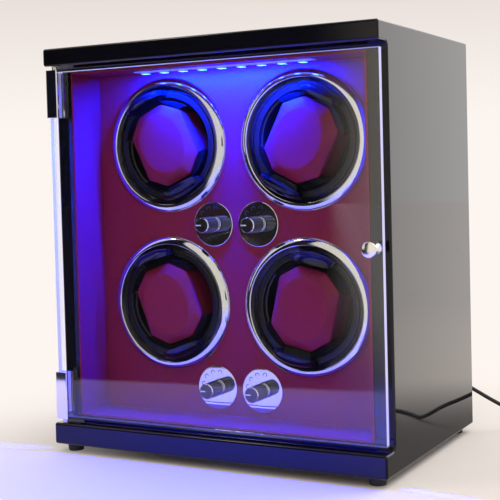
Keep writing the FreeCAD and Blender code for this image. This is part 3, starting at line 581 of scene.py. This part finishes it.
def cushion(place, angle):
    """Radius in each direction is octagon share times the octagon plus oval share times the oval. The
    octagon is a soft minimum of its eight sides, (sum of (cos to side / distance)^p)^(-1/p), drawn in at
    mid-side."""
    turn = np.linspace(0, 2 * np.pi, 161)
    facing = np.stack([np.cos(turn), np.sin(turn)])
    corner = np.array([seat_half_width - seat_end_half, seat_half_length - seat_side_half])
    slant = corner[::-1] / np.linalg.norm(corner)
    slant_distance = slant @ np.array([seat_end_half, seat_half_length])
    signs = np.array([(1, 1), (1, -1), (-1, 1), (-1, -1)])
    normals = np.vstack([(1, 0), (-1, 0), (0, 1), (0, -1), slant * signs])
    distances = np.array([seat_half_width] * 2 + [seat_half_length] * 2 + [slant_distance] * 4)
    nearness = np.maximum(normals @ facing / distances[:, None], 0) ** octagon_power
    octagon = nearness.sum(axis=0) ** (-1 / octagon_power)
    octagon *= 1 - octagon_waist * (nearness.max(axis=0) / nearness.sum(axis=0) - 0.5)
    oval = 1 / np.hypot(facing[0] / oval_half_width, facing[1] / oval_half_length)
    units = np.array([seat_half_width, oval_half_width, 1.0])
    rows = softened(np.array(cushion_rows) * units, 2.2, closed=False, steps=5) / units
    radius = rows[:, :1] * octagon + rows[:, 1:2] * oval
    across = radius * facing[0]
    along = radius * facing[1]
    return leaned(place, angle, across, rows[:, 2:3], along)


cushion_cover = wine_leather("cushion_cover", 800.0, 0.1 * mm)
for i, (place, angle) in enumerate(zip(rotor_places, rotor_angles), 1):
    pad = skin(f"cushion_{i}", cushion(place, angle), crease=60.0)
    dress(pad, f"rotor_{i}", "cushion", cushion_cover, f"watch_cushion_{i}")

# Drive behind the fascia: a gearbox and motor for each rotor, rotary switches for the knobs, and a small
# circuit board that runs them, all fixed to the motor board with small screws.

housing_black = matt_black("housing_moulding", (0.03, 0.03, 0.032), 0.45, 800.0, 0.05 * mm)
circuit_graph = Graph(bpy.data.materials.new("circuit_mask"))
tracks = circuit_graph.cells(260.0) < 0.1
circuit_mask = circuit_graph.surface(
    {
        "Base Color": circuit_graph.blend(tracks, (0.015, 0.1, 0.04, 1), (0.03, 0.19, 0.08, 1)),
        "Roughness": 0.35,
    }
)
brass = bright_metal("bearing_brass", (0.72, 0.53, 0.25), 0.25)
paint(circuit_mask, "control_board")
for name in ("gearboxes", "rotary_switches"):
    smoothed(name, "cabinet", "housing", housing_black)
for name in ("motor_cans", "motor_screws", "switch_nuts"):
    smoothed(name, "cabinet", "steel", plated_steel)
for i in range(1, 5):
    smoothed(f"drive_shaft_{i}", f"rotor_{i}", "steel", plated_steel)
    smoothed(f"switch_shaft_{i}", f"knob_{i}", "steel", plated_steel)

# Mirror discs: polished metal plates stuck to the fascia under the control knobs, with small printed arcs
# that show the settings. Each is dished a little, with a hole for its switch and a fine rounded edge.

dial_places = [on_fascia(f"control_knob_{i}") for i in range(1, 5)]
disc_radius = 16.9
disc_thickness = 1.2
disc_hole = 4.6
disc_dish = 0.08
disc_corners = [
    (disc_hole, 0.0),
    (disc_hole, disc_dish - disc_thickness),
    (disc_radius, -disc_thickness),
    (disc_radius, 0.0),
]
mirror = bright_metal("mirror_polish", (0.82, 0.82, 0.84), 0.01)
dress(
    skin("mirror_discs", *[turned(softened(disc_corners, 0.6), place) for place in dial_places]),
    "cabinet",
    "mirror",
    mirror,
    "dial_plates",
)

mark_reach = 12.4
mark_radius = 1.5
mark_width = 0.45
mark_height = 0.06
mark_share = 0.45
mark_seat = disc_thickness - mark_share * disc_dish
mark_clocks = (-78.0, -48.0, -18.0, 12.0)
mark_sweep = math.radians(115.0)


def ribbon(path, across, front):
    """A thin bar along a path: each row is the path's point plus the corners of a small rectangle, across
    by front, and the end rows shrink to the path's ends."""
    corners = np.array([(-1, 0), (1, 0), (1, 1), (-1, 1), (-1, 0)], float)
    rows = path[:, None] + corners[None, :, :1] * across[:, None] + corners[None, :, 1:] * front
    first = np.repeat(path[:1, None], len(corners), axis=1)
    last = np.repeat(path[-1:, None], len(corners), axis=1)
    return np.concatenate([first, rows, last])


def setting_mark(place, clock):
    """An arc open towards the knob, at a clock angle from the top: middle + radius (cos a, sin a)."""
    lean = math.radians(clock)
    outward = np.array([math.sin(lean), 0.0, math.cos(lean)])
    sideways = np.array([math.cos(lean), 0.0, -math.sin(lean)])
    sweep = np.linspace(-mark_sweep, mark_sweep, 17)[:, None]
    arm = np.cos(sweep) * outward + np.sin(sweep) * sideways
    seat = np.array(place) + mm * (mark_reach * outward - mark_seat * np.array([0.0, 1.0, 0.0]))
    front = np.array([0.0, -mark_height * mm, 0.0])
    return ribbon(seat + mark_radius * mm * arm, arm * mark_width / 2 * mm, front)


mark_grey = matt_black("printed_mark", (0.02, 0.02, 0.03), 0.4, 900.0, 0.01 * mm)
marks = [setting_mark(place, clock) for place in dial_places for clock in mark_clocks]
dress(skin("setting_marks", *marks), "cabinet", "drum", mark_grey)

# Control knobs: tapered satin black mouldings with a bright neck, shallow flutes for grip, a bright rim
# and a white pointer filled into the face. Each one is pushed onto the shaft of its switch.

knob_corners = [
    (0.0, -1.6),
    (5.7, -1.6),
    (5.7, -3.6),
    (6.05, -4.05),
    (6.03, -5.2),
    (5.8, -17.4),
    (5.1, -18.2),
    (0.0, -18.2),
]
flute_count = 12
flute_depth = 0.45
flute_root = (-5.2, -4.4)
flute_edge = (4.8, 5.6)
pointer_start = 0.6
pointer_end = 5.0
pointer_width = 0.9
pointer_sink = 0.06
pointer_height = 0.1
knob_face = -18.2


def fluted_knob(place):
    """A turned profile whose radius is less by sqrt(d^2 - (r off)^2) within d of each flute's middle,
    where off is the angle from it, fading out towards the neck and the face."""
    profile = softened(knob_corners, 0.25, closed=False)
    points = turned(profile, (0.0, 0.0, 0.0), 240)
    angle = np.linspace(0, 2 * np.pi, 241)
    step = 2 * np.pi / flute_count
    off = np.abs(np.mod(angle, step) - step / 2)
    radius = profile[:, :1]
    groove = np.sqrt(np.maximum(flute_depth**2 - (radius * off) ** 2, 0))
    groove *= np.interp(profile[:, 1], flute_root, (1.0, 0.0))[:, None]
    groove *= np.interp(profile[:, 0], flute_edge, (0.0, 1.0))[:, None]
    kept = np.where(radius > 0, 1 - groove / np.maximum(radius, flute_depth), 1.0)
    points[:, :, 0] *= kept
    points[:, :, 2] *= kept
    return points + np.array(place)


def pointer(place):
    """A straight bar on the knob's face that points to the left."""
    reach = np.array([-pointer_start, -pointer_end])
    path = np.array(place) + mm * np.stack([reach, 0 * reach + knob_face + pointer_sink, 0 * reach], axis=1)
    across = np.array([[0.0, 0.0, pointer_width / 2 * mm]] * 2)
    return ribbon(path, across, np.array([0.0, -pointer_height * mm, 0.0]))


knob_black = matt_black("knob_moulding", (0.003, 0.003, 0.004), 0.3, 700.0, 0.004 * mm)
pointer_graph = Graph(bpy.data.materials.new("pointer_white"))
pointer_paint = pointer_graph.blend(pointer_graph.noise(800.0), (0.72, 0.72, 0.7, 1), (0.82, 0.82, 0.8, 1))
pointer_white = pointer_graph.surface({"Base Color": pointer_paint, "Roughness": 0.45})
rim_corners = [(5.2, -18.05), (5.75, -17.5), (5.87, -17.55), (5.87, -17.62), (5.3, -18.2), (5.2, -18.24)]
rim_profile = softened(rim_corners, 0.05)
neck_corners = [(5.6, -1.65), (5.8, -1.65), (5.8, -2.5), (5.6, -2.5)]
neck_profile = softened(neck_corners, 0.08)
for i, place in enumerate(dial_places, 1):
    edge = skin(f"knob_{i}_rim", turned(rim_profile, place, 96))
    dress(edge, f"knob_{i}", "chrome", chrome)
    neck = skin(f"knob_{i}_neck", turned(neck_profile, place, 96))
    dress(neck, f"knob_{i}", "chrome", chrome)
    grip = skin(f"knob_{i}_grip", fluted_knob(place))
    dress(grip, f"knob_{i}", "knob", knob_black, f"control_knob_{i}")
    dress(skin(f"knob_{i}_pointer", pointer(place)), f"knob_{i}", "strip", pointer_white)

# Door glass: one clear sheet with ground and polished edges, on which the light of the lamps inside is
# painted.
# It is held at its left corners by the hinge clips, and has one hole for its knob.

glass_graph = Graph(bpy.data.materials.new("clear_glass"))
clear = glass_graph.add("ShaderNodeBsdfTransparent", None, {"Color": (0.96, 0.975, 0.97, 1)})
gleam = glass_graph.add(
    "ShaderNodeBsdfPrincipled",
    None,
    {"Base Color": (1, 1, 1, 1), "Metallic": 1.0, "Roughness": 0.0},
)
mirror_share = 0.04 + 0.96 * glass_graph.facing() ** 5
pane = glass_graph.add("ShaderNodeMixShader", None, {0: mirror_share, 1: clear, 2: gleam})
glass_graph.add("ShaderNodeOutputMaterial", None, {"Surface": pane})
paint(glass_graph.owner, "door_glass")

glass_low, glass_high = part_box("door_glass")
edge_inset = 0.45 * mm
edge_film = 0.05 * mm


def glass_edge():
    """A film round the four edges of the sheet: each of its corners, moved out by the film's section."""
    half = np.array([(glass_high[0] - glass_low[0]) / 2, (glass_high[2] - glass_low[2]) / 2])
    corners = np.array([(-1, -1), (1, -1), (1, 1), (-1, 1), (-1, -1)], float)
    front = glass_low[1] + edge_inset
    back = glass_high[1] - edge_inset
    section = np.array([(0.0, front), (edge_film, front), (edge_film, back), (0.0, back), (0.0, front)])
    spread = corners[:, None] * (half + section[None, :, :1])
    x = middle("door_glass")[0] + spread[:, :, 0]
    z = middle("door_glass")[2] + spread[:, :, 1]
    return np.stack([x, section[None, :, 1] + 0 * x, z], axis=-1)


# Painted light on a film round the edges: an emitted glow, a painted reflection that is whitish on the left
# edge and lavender on the right, and painted shade that darkens the bottom edge.
edge_graph = Graph(bpy.data.materials.new("glass_edge_painted_light"))
rightward = ramp(edge_graph.axis("X"), -0.1, 0.1)
above = ramp(edge_graph.axis("Z"), glass_low[2] + 0.2 * mm, glass_low[2] + 1.5 * mm)
painted_edge_reflection = edge_graph.blend(rightward, (0.85, 0.85, 0.88, 1), (0.38, 0.37, 0.6, 1))
painted_edge_glow = edge_graph.blend(edge_graph.noise(60.0), (0.42, 0.41, 0.66, 1), (0.52, 0.51, 0.74, 1))
painted_light_edge = edge_graph.surface(
    {
        "Base Color": edge_graph.blend(above, (0.06, 0.06, 0.1, 1), painted_edge_reflection),
        "Roughness": 0.22,
        "Emission Color": edge_graph.blend(above, (0.1, 0.1, 0.2, 1), painted_edge_glow),
        "Emission Strength": 0.45,
    }
)
dress(skin("glass_edge", glass_edge()), "door", "glass", painted_light_edge)

# Door hardware: chrome plated hinge clips that grip the corners of the glass, their screws and steel pins,
# the brass bushes the pins turn in, and a small waisted pull knob held by one screw through the glass.

smoothed("hinge_clips", "door", "chrome", chrome)
smoothed("clip_screws", "door", "chrome", chrome)
smoothed("hinge_pins", "door", "steel", plated_steel)
smoothed("hinge_bushes", "cabinet", "bearing", brass)
smoothed("door_knob_screw", "door", "chrome", chrome)

pull_place = (middle("door_knob")[0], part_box("door_knob")[1][1], middle("door_knob")[2])
pull_base = (4.3, -1.2)
pull_waist = (2.9, -5.7)
pull_rim = (5.3, -12.0)
pull_face = [(5.3, -12.0), (5.3, -12.5), (4.8, -12.8), (2.6, -13.4), (0.0, -13.6)]
pull_radii, pull_stations = zip(pull_base, pull_waist, pull_rim)
pull_curve = np.polyfit(pull_stations, pull_radii, 2)
pull_depths = np.linspace(pull_base[1], pull_rim[1], 21)
pull_profile = np.vstack(
    [
        [(0.0, 0.0), (4.2, 0.0), (4.3, -0.1)],
        np.stack([np.polyval(pull_curve, pull_depths), pull_depths], axis=1),
        softened(pull_face, 0.9, closed=False),
    ]
)
satin_chrome = bright_metal("satin_chrome", (0.84, 0.83, 0.82), 0.16)
pull = skin("pull_knob", turned(pull_profile, pull_place, 96))
dress(pull, "door", "chrome", satin_chrome, "door_knob")

# Power lead: an angled moulded plug in the socket at the rear, a thin limp black lead that drops to the
# table and runs to a small put-away coil held by a tie, and the moulded plug at its far end.

lead_route = [
    (108.0, 106.8, 39.5),
    (119.0, 106.8, 39.5),
    (134.0, 109.0, 32.0),
    (151.0, 110.2, 22.6),
    (168.0, 111.2, 15.0),
    (181.0, 113.0, 6.6),
    (190.0, 117.3, 2.0),
    (198.5, 126.3, 1.7),
    (210.0, 134.8, 1.7),
    (224.0, 140.4, 1.7),
    (239.0, 141.2, 1.7),
    (251.0, 134.3, 1.7),
    (255.3, 121.8, 1.9),
    (256.5, 106.3, 2.8),
    (256.5, 91.0, 2.8),
]
lead_radius = 1.6
coil_middle = (232.0, 87.8)
coil_first_radius = 24.5
coil_pitch = 3.7
coil_inner_half_turns = 7
coil_half_turns = 16
coil_points_per_half_turn = 6
coil_low = 2.8
lead_tail = [(258.35, 79.0, 6.4), (258.35, 71.0, 5.0), (258.35, 63.8, 4.6)]


def coil_route():
    """Points round a spiral that winds in on the lower layer, climbs once and winds out on the upper one.
    They lie outside the turns by 1 / cos(half a step), because the smooth line passes inside its points."""
    radii = [coil_first_radius - coil_pitch / 2 * k for k in range(coil_inner_half_turns + 2)]
    radii.append(radii[-1] + coil_pitch)
    while len(radii) <= coil_half_turns:
        radii.append(radii[-1] + coil_pitch / 2)
    spread = 1 / math.cos(math.pi / coil_points_per_half_turn / 2)
    points = []
    for k in range(coil_half_turns):
        for j in range(coil_points_per_half_turn):
            share = j / coil_points_per_half_turn
            radius = spread * (radii[k] + (radii[k + 1] - radii[k]) * share)
            climb = min(max(k + share - coil_inner_half_turns, 0.0), 1.0)
            angle = -math.pi * (k + share)
            x = coil_middle[0] + radius * math.cos(angle)
            y = coil_middle[1] + radius * math.sin(angle)
            points.append((x, y, coil_low + coil_pitch * climb))
    return points


lead_rubber = matt_black("lead_rubber", (0.011, 0.011, 0.012), 0.42, 1400.0, 0.03 * mm)
tie_cloth = matt_black("tie_cloth", (0.016, 0.016, 0.018), 0.85, 2200.0, 0.12 * mm)
route = lead_route + coil_route() + lead_tail
line = bpy.data.curves.new("power_lead", "CURVE")
line.dimensions = "3D"
line.bevel_depth = lead_radius * mm
line.bevel_resolution = 4
line.resolution_u = 6
line.use_fill_caps = True
spline = line.splines.new("NURBS")
spline.points.add(len(route) - 1)
spline.points.foreach_set("co", np.hstack([np.array(route) * mm, np.ones((len(route), 1))]).ravel())
spline.order_u = 3
spline.use_endpoint_u = True
lead = bpy.data.objects.new("power_lead", line)
bpy.context.scene.collection.objects.link(lead)
dress(lead, "cabinet", "lead", lead_rubber, "cord_run", "cord_coil")
lead_plug = smoothed("dc_plug", "cabinet", "lead", lead_rubber)
lead_end = smoothed("far_plug", "cabinet", "lead", lead_rubber)
lead_tie = smoothed("cord_tie", "cabinet", "tie", tie_cloth)
smoothed("power_socket", "cabinet", "housing", housing_black)

# Stage: a pale table top in a pale room, lit by a window behind and a small ceiling lamp. In front of the
# table the room is dark, so that the glass and the lacquer mirror the table's near edge.

table_half = 6.0
table_front = -0.378
table_slope = 0.147
view_slope = 0.466
view_edge = (0.12, 0.26)
seen_middle = 0.1
seen_fade = (0.15, 0.5)
mirrored_fade = (0.3, 1.1)
side_shade = 0.75
shade_edge = (0.13, 0.15)
shade_fade = (0.18, 0.4)
pale_table = (0.8, 0.77, 0.76, 1)
wall_low = (0.98, 0.915, 0.875, 1)
dark_room_and_painted_shade = (0.02, 0.018, 0.02, 1)
table_x, table_y = np.meshgrid([-table_half, table_half], [-table_half, table_half])
table = skin("table_top", np.stack([table_x, table_y, 0 * table_x], axis=-1))
table_graph = Graph(bpy.data.materials.new("pale_table"))
spot = table_graph.axis("X")
reach = table_graph.axis("Y")
seen = table_graph.add("ShaderNodeLightPath", output="Is Camera Ray")
mirrored = table_graph.add("ShaderNodeLightPath", output="Is Glossy Ray")
left_of_view = 1 - ramp(spot - view_slope * reach, *view_edge)
beyond = (reach + table_slope * spot < table_front) * left_of_view
distance = (spot * spot + reach * reach) ** 0.5
sideways = spot - seen_middle
faded = seen * ramp((sideways * sideways + reach * reach) ** 0.5, *seen_fade)
faded = faded + mirrored * (1 - beyond) * ramp(distance, *mirrored_fade)
# Painted shade: near the cabinet's right side the table is darkened, in reflections only, with the dark
# room's colour.
shaded = side_shade * mirrored * ramp(spot, *shade_edge) * (1 - ramp(distance, *shade_fade))
top = table_graph.add(
    "ShaderNodeBsdfPrincipled",
    None,
    {
        "Base Color": table_graph.blend(beyond * (1 - seen) + shaded, pale_table, dark_room_and_painted_shade),
        "Roughness": 0.5,
        "Specular IOR Level": 0.0,
    },
)
far = table_graph.add("ShaderNodeEmission", None, {"Color": wall_low})
fading = table_graph.add("ShaderNodeMixShader", None, {0: faded, 1: top, 2: far})
table_graph.add("ShaderNodeOutputMaterial", None, {"Surface": fading})
table.data.materials.append(table_graph.owner)

room = bpy.data.worlds.new("room")
bpy.context.scene.world = room
room_graph = Graph(room)
sight = room_graph.add("ShaderNodeTexCoord", output="Generated")
toward_x = room_graph.axis("X", sight)
toward_y = room_graph.axis("Y", sight)
toward_z = room_graph.axis("Z", sight)
wall_high = (0.78, 0.71, 0.67, 1)
cream_front = (1.0, 0.9, 0.78, 1)
white_rear = (1.0, 0.97, 0.95, 1)
dim_corner = (0.006, 0.006, 0.012, 1)
upright_share = (1 - toward_z * toward_z) ** -0.5


def dim_part(direction, edge, share=1.0):
    """1 near a level direction (x, y), 0 away from it, changing between the two cosines of its edge."""
    return ramp((direction[0] * toward_x + direction[1] * toward_y) * share, *edge)


corner = dim_part((-0.559, -0.829), (0.979, 0.99), upright_share)
viewer = dim_part((0.72, -0.69), (0.978, 0.99))
aside = dim_part((-1.0, -0.09), (0.85, 0.93))
sides = room_graph.blend(ramp(toward_y, -0.25, 0.25), cream_front, white_rear)
surroundings = room_graph.blend(corner + viewer + aside, sides, dim_corner)
wall = room_graph.blend(ramp(toward_z, 0.02, 0.2), wall_low, wall_high)
direct = room_graph.add("ShaderNodeLightPath", output="Is Camera Ray")
backdrop = room_graph.add(
    "ShaderNodeBackground",
    None,
    {"Color": room_graph.blend(direct, surroundings, wall), "Strength": 1.0},
)
room_graph.add("ShaderNodeOutputWorld", None, {"Surface": backdrop})


def soft_lamp(name, size, energy, colour, place, target):
    """A square lamp of a size in metres at a place, turned to face its target."""
    light = bpy.data.lights.new(name, "AREA")
    light.size = size
    light.energy = energy
    light.color = colour
    lamp = bpy.data.objects.new(name, light)
    lamp.location = place
    aim = mathutils.Vector(target) - lamp.location
    lamp.rotation_euler = aim.to_track_quat("-Z", "Y").to_euler()
    bpy.context.scene.collection.objects.link(lamp)


soft_lamp("window", 1.6, 26.0, (1.0, 0.96, 0.92), (0.9, 1.4, 1.7), (0.0, 0.0, 0.1))
soft_lamp("ceiling", 0.22, 2.0, (1.0, 0.95, 0.88), (-0.9, -0.6, 1.6), (0.0, 0.0, 0.15))

# Camera: to the right of the box and a little above its middle, with a slight tilt, and framed off its
# centre line as the photograph is.

image_side = 500.0
focal_pixels = 1120.36
centre_pixels = (272.69, 217.67)
camera_place = (0.41636, -0.76627, 0.21124)
camera_turn = math.radians(27.8317)
camera_rise = math.radians(2.2954)
camera_tilt = math.radians(-1.4426)

back = mathutils.Vector(
    (
        math.sin(camera_turn) * math.cos(camera_rise),
        -math.cos(camera_turn) * math.cos(camera_rise),
        math.sin(camera_rise),
    )
)
level = mathutils.Vector((math.cos(camera_turn), math.sin(camera_turn), 0.0))
upright = back.cross(level)
right = math.cos(camera_tilt) * level + math.sin(camera_tilt) * upright
up = -math.sin(camera_tilt) * level + math.cos(camera_tilt) * upright
lens = bpy.data.cameras.new("camera")
lens.sensor_width = 36.0
lens.lens = focal_pixels / image_side * lens.sensor_width
lens.shift_x = (image_side / 2 - centre_pixels[0]) / image_side
lens.shift_y = (centre_pixels[1] - image_side / 2) / image_side
camera = bpy.data.objects.new("camera", lens)
camera.matrix_world = mathutils.Matrix.Translation(camera_place) @ mathutils.Matrix(
    (right, up, back)
).transposed().to_4x4()
bpy.context.scene.collection.objects.link(camera)
bpy.context.scene.camera = camera
bpy.context.scene.view_settings.view_transform = "Standard"
